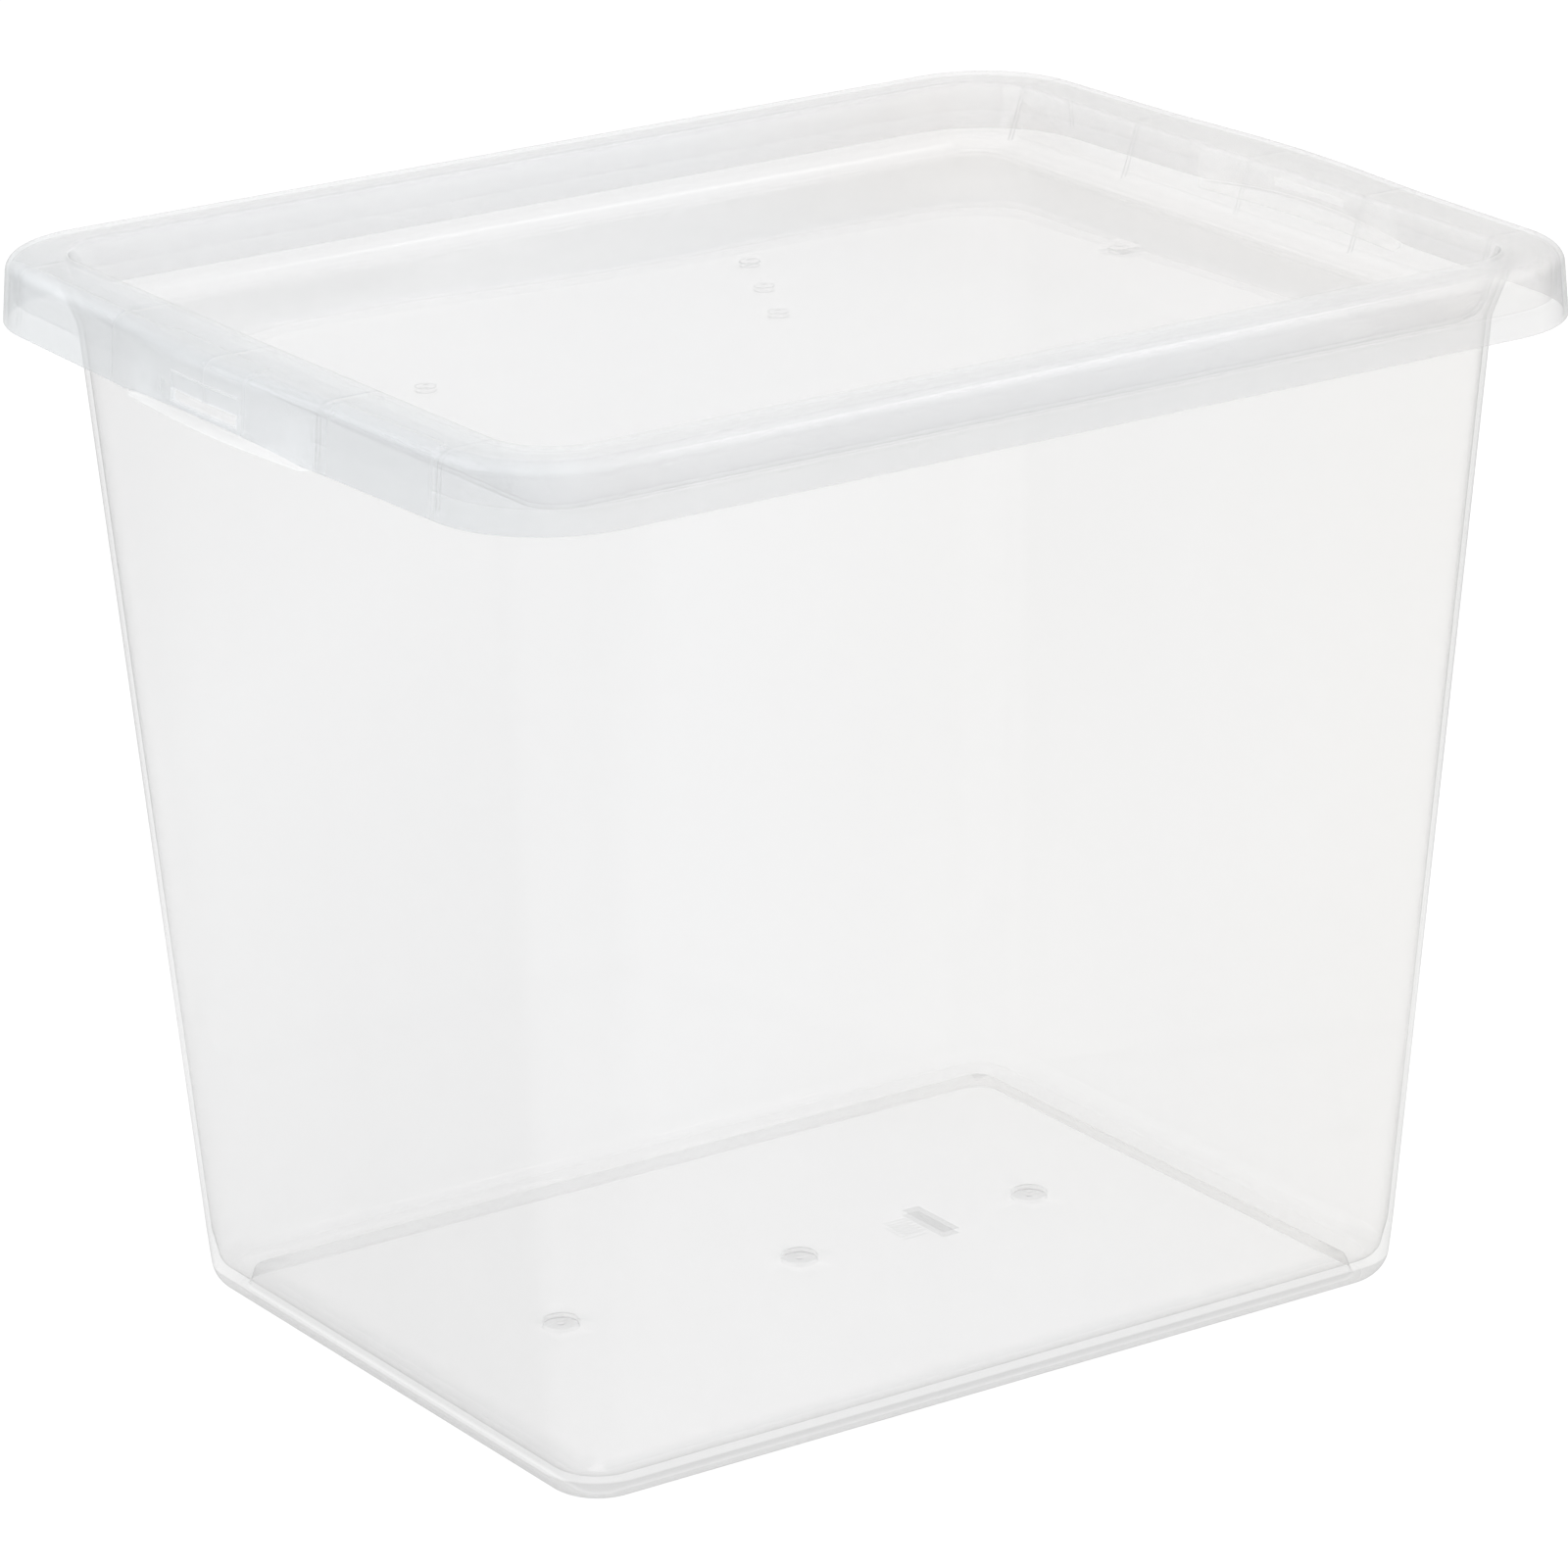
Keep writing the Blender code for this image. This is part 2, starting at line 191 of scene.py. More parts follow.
def arch(y):
    return np.where(np.abs(y) < ARCH_HALF,
                    ARCH_RISE * (1.0 - (y / ARCH_HALF) ** 2), 0.0)


def cut_creases(ring, normal, amount):
    """Sink the break lines into a ring against its (outward, up) normal."""
    from_middle = np.abs(ring[:, 1])
    depth = np.zeros(len(ring))
    for crease in CREASES:
        near = np.clip(1.0 - np.abs(from_middle - crease) / CREASE_HALF, 0, 1)
        depth = np.maximum(depth, CREASE_DEPTH * near)
    depth = np.where(IS_END, depth, 0.0) * amount
    ring[:, 0] -= np.sign(ring[:, 0]) * depth * normal[0]
    ring[:, 2] -= depth * normal[1]
    return ring


def lid_pts(off, z, normal=(0.0, 0.0), cut=0.0):
    return cut_creases(with_z(lid_outline(off), z), normal, cut)


def rec_pts(off, z, normal=(0.0, 0.0), cut=0.0):
    """Ring of the recess; its ends bow out within 8 mm above the panel."""
    share = min(1.0, max(0.0, (z - PANEL_Z) / 8.0))
    flat = outline(REC_HALF_X + off, REC_HALF_Y + off, max(REC_R + off, 12.0),
                   max(LEAST_BOW, REC_BOW / CROWN_MAX * share))
    return cut_creases(with_z(flat, z), normal, cut)


def tub_pts(off, z_wall, z):
    """Ring at height z, set off from the drafted wall's outline at z_wall."""
    radius = max(BASE_R + TOP_R_GAIN * z_wall / DRAFT_HEIGHT + off, 9.0)
    return with_z(outline(BASE_HALF_X + DRAFT_X * z_wall + off,
                          BASE_HALF_Y + DRAFT_Y * z_wall + off, radius), z)


# ================================================================== meshes
SPOT_SEGS = 48


def circle(centre, radius):
    angles = [2 * math.pi * k / SPOT_SEGS for k in range(SPOT_SEGS)]
    return [(centre[0] + radius * math.cos(a), centre[1] + radius * math.sin(a))
            for a in angles]


def closed_pairs(ids):
    return [(ids[k], ids[(k + 1) % len(ids)]) for k in range(len(ids))]


def in_spot(x, y, spots, radius):
    return any(math.hypot(x - cx, y - cy) < radius for cx, cy in spots)


def grid_points(loop, spacing, spots, rim_radius):
    """Even grid inside the loop, clear of its edge and of the spots."""
    low, high = loop[:, :2].min(0), loop[:, :2].max(0)
    size = high - low
    steps = int(size[0] / spacing), int(size[1] / spacing)
    margin = spacing * 0.7
    points = []
    for i in range(1, steps[0]):
        for j in range(1, steps[1]):
            x = low[0] + size[0] * i / steps[0]
            y = low[1] + size[1] * j / steps[1]
            if min(x - low[0], high[0] - x, y - low[1], high[1] - y) < margin:
                continue
            if np.min(np.hypot(loop[:, 0] - x, loop[:, 1] - y)) < margin:
                continue
            if not in_spot(x, y, spots, rim_radius + 2.0):
                points.append((x, y))
    return points


def cap_patch(loop, height, spots, spacing, rim_radius, radii, profile, flip):
    """Fill a ring with a fine sheet: a grid, with round details set in it.

    loop is (n, 3) and keeps its own z; height(x, y) is the sheet's z;
    profile(radius) adds to it on the circles of the given radii.
    Returns vertices and faces.
    """
    count = len(loop)
    points = [tuple(v) for v in loop[:, :2]]
    edges = closed_pairs(range(count))
    rims = []
    for spot in spots:
        ids = range(len(points), len(points) + SPOT_SEGS)
        points += circle(spot, rim_radius)
        rims.append(ids)
        edges += closed_pairs(ids)
    points += grid_points(loop, spacing, spots, rim_radius)
    result = delaunay_2d_cdt([Vector(p) for p in points], edges,
                             [list(range(count))], 1, 1e-6)
    new_id = {old: new for new, olds in enumerate(result[3]) for old in olds}
    flat = np.array([(v.x, v.y) for v in result[0]])

    faces = []
    for face in result[2]:
        middle = flat[list(face)].mean(0)
        if in_spot(middle[0], middle[1], spots, rim_radius * 0.9985):
            continue
        a, b, c = (flat[i] for i in face[:3])
        area = (b[0] - a[0]) * (c[1] - a[1]) - (b[1] - a[1]) * (c[0] - a[0])
        faces.append(tuple(face) if area > 0 else tuple(reversed(face)))

    verts = [list(v) for v in flat]
    added = [0.0] * len(verts)
    for spot, ids in zip(spots, rims):
        outer = [new_id[i] for i in ids]
        for radius in radii:
            inner = list(range(len(verts), len(verts) + SPOT_SEGS))
            verts += [list(v) for v in circle(spot, radius)]
            added += [profile(radius)] * SPOT_SEGS
            for k in range(SPOT_SEGS):
                j = (k + 1) % SPOT_SEGS
                faces.append((inner[k], outer[k], outer[j]))
                faces.append((inner[k], outer[j], inner[j]))
            outer = inner
        centre = len(verts)
        verts.append(list(spot))
        added.append(profile(0.0))
        faces += [(centre, i, j) for i, j in closed_pairs(outer)]
    flat = np.array(verts)
    z = height(flat[:, 0], flat[:, 1]) + np.array(added)
    z[[new_id[i] for i in range(count)]] = loop[:, 2]
    if flip:
        faces = [tuple(reversed(f)) for f in faces]
    return np.concatenate([flat, z[:, None]], 1), faces


def loft(rings):
    """Quads between successive rings of equal length."""
    count = len(rings[0])
    faces = []
    for row in range(len(rings) - 1):
        low, high = row * count, (row + 1) * count
        for i, j in closed_pairs(range(count)):
            faces.append((low + i, low + j, high + j, high + i))
    return np.concatenate(rings), faces


def join_parts(parts):
    """Stack several (vertices, faces) pairs into one."""
    coords, faces, base = [], [], 0
    for part_coords, part_faces in parts:
        coords.append(part_coords)
        faces += [tuple(i + base for i in face) for face in part_faces]
        base += len(part_coords)
    return np.concatenate(coords), faces


def to_object(name, coords, faces):
    mesh = bpy.data.meshes.new(name)
    mesh.from_pydata((coords * MM).tolist(), [], faces)
    bm = bmesh.new()
    bm.from_mesh(mesh)
    bmesh.ops.remove_doubles(bm, verts=bm.verts, dist=1e-5)
    bmesh.ops.dissolve_degenerate(bm, edges=bm.edges, dist=1e-6)
    bmesh.ops.recalc_face_normals(bm, faces=bm.faces)
    bm.to_mesh(mesh)
    bm.free()
    obj = bpy.data.objects.new(name, mesh)
    bpy.context.scene.collection.objects.link(obj)
    return obj


def carve(obj, cutters):
    for k, cutter in enumerate(cutters):
        mod = obj.modifiers.new("cut%d" % k, "BOOLEAN")
        mod.operation, mod.solver, mod.object = "DIFFERENCE", "EXACT", cutter
    deps = bpy.context.evaluated_depsgraph_get()
    mesh = bpy.data.meshes.new_from_object(obj.evaluated_get(deps))
    obj.modifiers.clear()
    old = obj.data
    obj.data = mesh
    bpy.data.meshes.remove(old)
    for cutter in cutters:
        mesh = cutter.data
        bpy.data.objects.remove(cutter, do_unlink=True)
        bpy.data.meshes.remove(mesh)


def shade(obj, sharp_deg=30.0):
    """Smooth faces, with edges sharp above the given angle."""
    bm = bmesh.new()
    bm.from_mesh(obj.data)
    limit = math.radians(sharp_deg)
    for face in bm.faces:
        face.smooth = True
        face.material_index = 0
    for edge in bm.edges:
        edge.smooth = (len(edge.link_faces) == 2
                       and edge.calc_face_angle(0.0) < limit)
    bm.to_mesh(obj.data)
    bm.free()


def paint(obj, name, amount_at):
    """Store a smooth per-point amount that the material reads."""
    count = len(obj.data.vertices)
    coords = np.empty(count * 3, np.float32)
    obj.data.vertices.foreach_get("co", coords)
    coords = coords.reshape(count, 3).astype(float) / MM
    amount = np.clip(amount_at(coords), -1.0, 1.0).astype(np.float32)
    attr = obj.data.attributes.new(name, "FLOAT", "POINT")
    attr.data.foreach_set("value", amount)


def dress(obj, layers, material):
    shade(obj)
    for name, amount_at in layers.items():
        paint(obj, name, amount_at)
    obj.data.materials.clear()
    obj.data.materials.append(material)


# ========================================================== painted layers
# Amounts per vertex, from points in mm:
#   bulk   more haze           dense  painted shade: darker sheet (below zero: painted light, lighter)
#   satin  rougher gloss       glow   painted light: a little light of its own
#   foot   outside of the rounded bottom edge
# Each is a sum of zones, which are 1 inside and fade out at their borders.
def rect_dist(points, half_x, half_y, radius):
    """Signed distance from a rounded rectangle: above zero is outside."""
    past = np.abs(points[:, :2]) - np.array([half_x - radius, half_y - radius])
    out = np.hypot(np.maximum(past[:, 0], 0), np.maximum(past[:, 1], 0))
    return out + np.minimum(np.maximum(past[:, 0], past[:, 1]), 0) - radius


def rec_dist(points):
    return rect_dist(points, REC_HALF_X, REC_HALF_Y, REC_R)


def base_dist(points):
    return rect_dist(points, BASE_HALF_X, BASE_HALF_Y, BASE_R)


def lid_bulk(points):
    dist = rect_dist(points, REC_HALF_X - 4, REC_HALF_Y - 4, 29)
    return 0.15 * above(dist, -6.0, 12.0)


def rec_fillet_zone(points):
    dist = rec_dist(points)
    return (above(dist, -17.0, 3.0) * below(dist, -2.5, 3.0)
            * below(points[:, 2], 480.0, 2.0))


def lid_painted_shading(points):
    """Painted shade on skirt and recess wall, sheets seen nearly edge on; below
    zero, painted light.
    """
    x, y, z = points.T
    dist = rec_dist(points)
    outer = above(rect_dist(points, LID_HALF_X - 6, LID_HALF_Y - 6, 49),
                  0.0, 3.0)
    skirt = outer * below(z, 497.0, 4.0)
    # painted shade on the two opposite corners with x and y of unlike sign
    corner = (above(np.abs(x), 262.0, 16.0) * above(np.abs(y), 165.0, 30.0)
              * (x * y < 0.0))
    corner = corner * np.where(x > 0.0, 0.090, 0.010)
    wall = (above(dist, -9.0, 3.0) * below(dist, 2.5, 2.0)
            * below(z, 498.0, 3.0) * above(z, 474.0, 3.0)
            * above(y, -204.0, 8.0))
    front_wall = (above(dist, -9.0, 3.0) * below(dist, 6.0, 2.0)
                  * below(z, 498.0, 3.0) * above(-y, 196.0, 8.0))
    fillet = rec_fillet_zone(points) * above(y, -200.0, 12.0)
    end_hem = skirt * below(z, 481.0, 3.0) * above(np.abs(x), 262, 12)
    panel = below(dist, -13.0, 4.0) * below(z, 476.0, 4.0)
    far = np.maximum(above(y, 85.0, 30.0), above(x, 130.0, 30.0))
    front_upper = (skirt * above(z, 479.2, 1.2) * above(-y, 212.0, 12.0)
                   * below(x, 262.0, 16.0))
    top_left = (outer * above(z, 494.0, 3.0) * above(-x, 262.0, 8.0)
                * above(y, 60.0, 50.0))
    return (0.060 * skirt + skirt * corner + 0.011 * end_hem
            + 0.024 * wall - 0.018 * front_wall + 0.030 * fillet
            - panel * (0.017 + 0.006 * far) - 0.013 * front_upper
            - 0.035 * top_left)


def lid_satin(points):
    """Duller facets: right recess fillet, parts of the left top edge."""
    x, y = points[:, 0], points[:, 1]
    fillet = rec_fillet_zone(points) * above(x, 225.0, 10.0)
    edge = (above(-x, 280.0, 4.0)
            * (((y < -90.5) & (y > -174.0)) | (y > -30.0)))
    return np.maximum(fillet, edge)


def grip_zone(points):
    x, _, z = points.T
    return (below(z, 471.5, 1.0) * above(z, 464.0, 0.5)
            * above(np.abs(x), 281.0, 3.0))


def tub_bulk(points):
    """Rim, less so along the front, and grips."""
    rim = above(points[:, 2], 484.0, 8.0)
    rim = rim * (1.0 - 0.8 * above(-points[:, 1], 185.0, 6.0))
    return 0.04 * rim + 0.22 * grip_zone(points)


# painted light: the grips glow a little
def tub_glow(points):
    return 0.05 * grip_zone(points)


def tub_satin(points):
    return (below(points[:, 2], FLOOR_TOP + 1.5, 1.0)
            * below(base_dist(points), -10.0, 2.0))


def tub_painted_shading(points):
    """Painted light on floor and rim lip, slight painted shade on the left end.
    """
    x, y, z = points.T
    dist = base_dist(points)
    grip = grip_zone(points)
    floor = (below(z, FLOOR_TOP + 1.5, 1.0)
             * below(dist, -STEP_IN + 1.0, 1.0))
    lip = (above(rect_dist(points, LID_HALF_X - 7, LID_HALF_Y - 7, 48),
                 0.0, 1.0) * below(z, 492.0, 3.0))
    left_end = above(-x, 200.0, 20.0) * above(z, 14.0, 6.0)
    front = above(z, 474.0, 6.0) * above(-y, 185.0, 6.0) * (1.0 - lip)
    # painted shade round the foot of the inner wall and at the step under the
    # floor on the near sides; painted light at the step elsewhere
    ring = (above(dist, -12.0, 1.5) * below(dist, -2.0, 1.5)
            * above(z, FLOOR_TOP - 0.5, 0.4) * below(z, FLOOR_TOP + 6.0, 4.0))
    step = (above(dist, -STEP_IN - 0.3, 0.4) * below(dist, -FOOT_IN, 0.5)
            * above(z, 0.3, 1.0) * (z < FLOOR_TOP - 1.5))
    near_sides = np.maximum(above(-y, 120.0, 15.0), above(-x, 190.0, 15.0))
    step = step * (0.100 * near_sides - 0.016 * (1.0 - near_sides))
    return (0.040 * ring * near_sides + step - 0.020 * front - 0.018 * floor
            - 0.018 * lip * (1.0 - grip) - 0.020 * grip + 0.011 * left_end)


def tub_foot(points):
    """1 on the outside of the rounded bottom edge."""
    dist = base_dist(points)
    share = np.clip((dist + FOOT_R - 1.0) / FOOT_R, 0.0, 0.999)
    arc_z = FOOT_R * (1.0 - np.sqrt(1.0 - share * share))
    return ((np.abs(points[:, 2] - arc_z) < 0.9) & (dist > -13.9)
            & (points[:, 2] < 14.5)).astype(float)


# ===================================================================== tub
# heights of the rings up the tub wall
WALL_ZS = (30.0, 60.0, 110.0, 170.0, 230.0, 290.0, 350.0, 410.0, 450.0, 460.0,
           FLARE_Z0, FLARE_Z0 + 2.0, FLARE_Z0 + 4.0, FLARE_Z0 + FLARE_EASE,
           476.0, 482.0, 488.0)
GATE_RIM = 9.2
GATE_RADII = (8.6, 8.2, 7.8, 7.2, 6.4, 5.0, 3.4, 2.2, 1.8, 1.4, 0.9, 0.4)


def gate_top(radius):
    z = 1.25 * below(radius, 8.9, 1.6)
    z -= 0.5 * below(radius, 6.0, 3.0)
    return z + 0.7 * below(radius, 1.9, 0.8)


def gate_under(radius):
    z = 1.35 * below(radius, 8.9, 1.2)
    return z - 0.8 * below(radius, 1.9, 0.7)


def flare(z):
    """Outward set of the tub wall at height z, beyond its plain draft."""
    rise = z - FLARE_Z0
    if rise <= 0.0:
        return 0.0
    if rise < FLARE_EASE:
        return 0.5 * FLARE_SLOPE * rise ** 2 / FLARE_EASE
    return FLARE_SLOPE * (rise - 0.5 * FLARE_EASE)


def lip_pts(off, z, grip_off=None, grip_z=None, arched=False):
    """Ring of the rim, moved to grip_off and grip_z along the grips.

    arched makes the grip's height follow the skirt's lower edge.
    """
    plain = lid_outline(off)
    if grip_off is None:
        return with_z(plain, z)
    y = plain[:, 1]
    is_end = np.abs(plain[:, 0]) > 200.0
    drop = np.where(is_end, np.clip(GRIP_HALF + 3.0 - np.abs(y), 0, 1), 0.0)
    out = np.where(is_end, below(np.abs(y), GRIP_HALF + 2.0, 2.0), 0.0)
    if arched:
        grip_z = grip_z + arch(y)
    points = plain + out[:, None] * (lid_outline(grip_off) - plain)
    return with_z(points, z + drop * (grip_z - z))


def foot_rings(last_deg):
    """Step inside the foot ring, then the rounded bottom edge."""
    rings = []
    for i in range(9):
        t = i / 8
        rings.append(tub_pts(-STEP_IN + (STEP_IN - FOOT_IN) * t, 0.0,
                             FLOOR_RISE * (1.0 - smooth(t))))
    for i in range(15):
        angle = math.radians(last_deg * i / 14)
        rings.append(tub_pts(-FOOT_R + 1.0 + FOOT_R * math.sin(angle), 0.0,
                             FOOT_R * (1.0 - math.cos(angle))))
    return rings


def rim_rings(z_under):
    """Underside of the rim, down inside the lip, up outside, over the top."""
    rings = []
    corner_r = 2.0
    start = flare(z_under - corner_r)
    for i, angle in enumerate(quarter(5, first=1), 1):
        rings.append(tub_pts(
            start + corner_r * (1 - math.cos(angle)) + 0.15 * i, z_under,
            z_under - corner_r + corner_r * math.sin(angle)))
    inner = LIP_OFF - RIM_T
    bend_r = 2.6
    for angle in quarter(4):
        rings.append(lip_pts(inner - bend_r * (1.0 - math.sin(angle)),
                             z_under - bend_r * (1.0 - math.cos(angle))))
    # lower edge: offset and height, then the same along the grips
    for row in ((inner, LIP_Z + 1.0, inner, GRIP_Z + 4.0),
                (inner, LIP_Z + 0.4, inner, GRIP_Z + 1.2),
                (inner + 0.3, LIP_Z + 0.1, inner + 0.3, GRIP_Z + 0.4),
                (inner + 0.8, LIP_Z, inner + 1.0, GRIP_Z),
                (LIP_OFF - 0.8, LIP_Z, GRIP_OUT - 1.5, GRIP_Z),
                (LIP_OFF - 0.3, LIP_Z + 0.1, GRIP_OUT - 0.5, GRIP_Z + 0.4),
                (LIP_OFF, LIP_Z + 0.5, GRIP_OUT, GRIP_Z + 1.4)):
        rings.append(lip_pts(*row))
    # top of the grip, just under the skirt's edge: height above LIP_Z,
    # grip offset, height above the gap under the skirt
    for rise, grip_off, lift in ((0.7, GRIP_OUT, -0.7),
                                 (0.8, GRIP_OUT - 0.25, -0.2),
                                 (0.9, GRIP_OUT - 0.8, 0.0),
                                 (1.1, LIP_OFF + 0.9, 0.0),
                                 (1.3, LIP_OFF + 0.25, 0.3),
                                 (1.5, LIP_OFF, 1.0)):
        rings.append(lip_pts(LIP_OFF, LIP_Z + rise, grip_off,
                             SKIRT_Z - GAP + lift, arched=True))
    edge_r = 5.0
    for angle in quarter(7):
        rings.append(lip_pts(LIP_OFF - edge_r * (1.0 - math.cos(angle)),
                             RIM_Z - edge_r + edge_r * math.sin(angle)))
    mouth = flare(RIM_Z - 1.2) - TUB_T
    for out, down in ((1.6, 0.0), (0.9, 0.15), (0.3, 0.5), (0.0, 1.2)):
        rings.append(tub_pts(mouth + out, RIM_Z - down, RIM_Z - down))
    return rings


def build_tub():
    last_deg = 90.0 - math.degrees(math.atan(DRAFT_X))
    z_under = RIM_Z - RIM_T
    rings = foot_rings(last_deg)
    for z in (*WALL_ZS, z_under - 2.0):
        rings.append(tub_pts(flare(z), z, z))
    rings += rim_rings(z_under)
    for z in reversed(WALL_ZS):
        rings.append(tub_pts(flare(z) - TUB_T, z, z))
    for i in range(11):
        angle = math.radians(last_deg * (1.0 - i / 10))
        rings.append(tub_pts(-TUB_T - INNER_R + INNER_R * math.sin(angle), 0.0,
                             FLOOR_TOP + INNER_R * (1.0 - math.cos(angle))))
    rings.append(tub_pts(-TUB_T - INNER_R - 1.5, 0.0, FLOOR_TOP))

    def floor_sheet(loop, level, profile, flip):
        return cap_patch(loop, lambda x, y: level, GATES, spacing=11.0,
                         rim_radius=GATE_RIM, radii=GATE_RADII,
                         profile=profile, flip=flip)
    return to_object("bin_shell", *join_parts([
        loft(rings),
        floor_sheet(rings[0], FLOOR_RISE, gate_under, True),
        floor_sheet(rings[-1], FLOOR_TOP, gate_top, False)]))


# ===================================================================== lid
SKIRT_ZS = (489.6, RAMP_Z1 + 0.9, RAMP_Z1 + 0.6, RAMP_Z1 + 0.3, RAMP_Z1,
            485.5, 483.0, 481.0, 480.2, WIN_Z1 - 0.3, WIN_Z1 - 0.9, 477.0,
            WIN_Z0, HINGE_Z, 473.4, 471.8, 470.2)
MARK_RIM = 5.4
MARK_RADII = (5.0, 4.6, 4.2, 3.6, 2.6, 1.9, 1.5, 1.1, 0.6)
FILLET_STEPS = 14


def panel_warp(x, y):
    """Slow unevenness of the thin panel, zero at its border."""
    inside = np.minimum(240.0 - np.abs(x), 186.0 - np.abs(y))
    waves = (0.9 * np.sin(x / 88.0 + 0.7) * np.cos(y / 74.0 - 0.3)
             + 0.5 * np.sin(x / 41.0 - y / 63.0 + 1.1)
             + 0.7 * np.cos(x / 120.0) * np.cos(y / 110.0))
    return smooth(inside / 60.0) * waves


def mark_top(radius):
    z = -0.22 * below(radius, 5.3, 0.9)
    return z + 0.55 * below(radius, 2.0, 0.9)


def mark_under(radius):
    return -0.25 * below(radius, 5.3, 1.5)


def end_details(ring, z):
    """Dent, ridge and short tick marks on the skirt's end faces."""
    from_middle = np.abs(ring[:, 1])
    inside = np.clip((WIN_HALF + 0.4 - from_middle) / 0.4, 0, 1)
    out = np.zeros(len(ring))
    if WIN_Z1 - 0.6 < z < RAMP_Z1:
        out -= inside * RAMP_DEPTH * (RAMP_Z1 - z) / (RAMP_Z1 - WIN_Z1)
    if abs(z - RAMP_Z1 - 0.45) < 0.3:
        out += inside * 0.35
    if 475.4 < z < 481.2:
        out -= 0.3 * np.clip(1 - np.abs(from_middle - 37.5) / 0.4, 0, 1)
    ring[:, 0] += np.where(IS_END, np.sign(ring[:, 0]) * out, 0.0)
    return ring


def hem(ring):
    """Lift the skirt's lower edge over the grips, keeping rows in order."""
    z = ring[:, 2]
    span = HINGE_Z - SKIRT_Z
    lifted = HINGE_Z - (HINGE_Z - z) * (span - arch(ring[:, 1])) / span
    use = (np.abs(ring[:, 0]) > 200.0) & (z < HINGE_Z)
    ring[:, 2] = np.where(use, lifted, z)
    return ring


def skirt_off(z):
    top = TOP_Z - EDGE_R
    return SKIRT_FLARE * (top - z) / (top - SKIRT_Z)


def between(start, end, shares):
    return [start * (1 - t) + end * t for t in shares]


# Recess section: the wall meets the edge rounding at (EDGE_WALL_OFF,
# EDGE_WALL_Z) and the fillet at height FILLET_WALL_Z.
EDGE_MID_Z = TOP_Z - REC_EDGE_R
EDGE_WALL_Z = EDGE_MID_Z + REC_EDGE_R * math.sin(REC_LEAN)
EDGE_MID_OFF = -0.5 + REC_EDGE_R * math.cos(REC_LEAN) + REC_SLOPE * (
    EDGE_WALL_Z - (TOP_Z - REC_EDGE_R + 0.2))
EDGE_WALL_OFF = EDGE_MID_OFF - REC_EDGE_R * math.cos(REC_LEAN)
FILLET_WALL_Z = PANEL_Z + REC_FILLET * (1.0 - math.sin(REC_LEAN))


def rec_wall(z):
    return EDGE_WALL_OFF - REC_SLOPE * (EDGE_WALL_Z - z)


def fillet_rows(radius):
    """Offset, height and angle along the fillet, from the panel up."""
    middle = rec_wall(FILLET_WALL_Z) - REC_FILLET * math.cos(REC_LEAN)
    rows = []
    for i in range(FILLET_STEPS + 1):
        angle = math.radians((90.0 - REC_LEAN_DEG) * i / FILLET_STEPS)
        rows.append((middle + radius * math.sin(angle),
                     PANEL_Z + REC_FILLET - radius * math.cos(angle), angle))
    return rows


def lid_outer_rings():
    """Upper face, from the panel's border out to the skirt's edge."""
    rings = []
    for off, z, angle in fillet_rows(REC_FILLET):
        cut = above(math.degrees(angle), 35.0, 25.0)
        rings.append(rec_pts(off, z, (-math.sin(angle), math.cos(angle)), cut))
    wall_normal = (-math.cos(REC_LEAN), math.sin(REC_LEAN))
    for t in (0.25, 0.5, 0.75, 1.0):
        z = FILLET_WALL_Z + (EDGE_WALL_Z - FILLET_WALL_Z) * t
        rings.append(rec_pts(rec_wall(z), z, wall_normal, 1.0))
    for i in range(1, 7):
        angle = REC_LEAN + (0.5 * math.pi - REC_LEAN) * i / 6
        rings.append(rec_pts(EDGE_MID_OFF - REC_EDGE_R * math.cos(angle),
                             EDGE_MID_Z + REC_EDGE_R * math.sin(angle),
                             (-math.cos(angle), math.sin(angle)), 1.0))
    rings += between(rec_pts(EDGE_MID_OFF, TOP_Z, (0.0, 1.0), 0.6),
                     lid_pts(-EDGE_R, TOP_Z, (0.0, 1.0), 0.6),
                     (0.25, 0.5, 0.75))
    for angle in reversed(quarter(14)):
        rings.append(lid_pts(-EDGE_R * (1.0 - math.cos(angle)),
                             TOP_Z - EDGE_R + EDGE_R * math.sin(angle),
                             (math.cos(angle), math.sin(angle)), 0.8))
    for z in SKIRT_ZS:
        rings.append(hem(end_details(
            lid_pts(skirt_off(z), z, (1.0, 0.0), 0.8), z)))
    for angle in quarter(4, first=1):        # rounded lower edge, outside
        rings.append(hem(lid_pts(SKIRT_FLARE - 0.7 * (1 - math.cos(angle)),
                                 SKIRT_Z + 0.7 * (1.0 - math.sin(angle)))))
    return rings


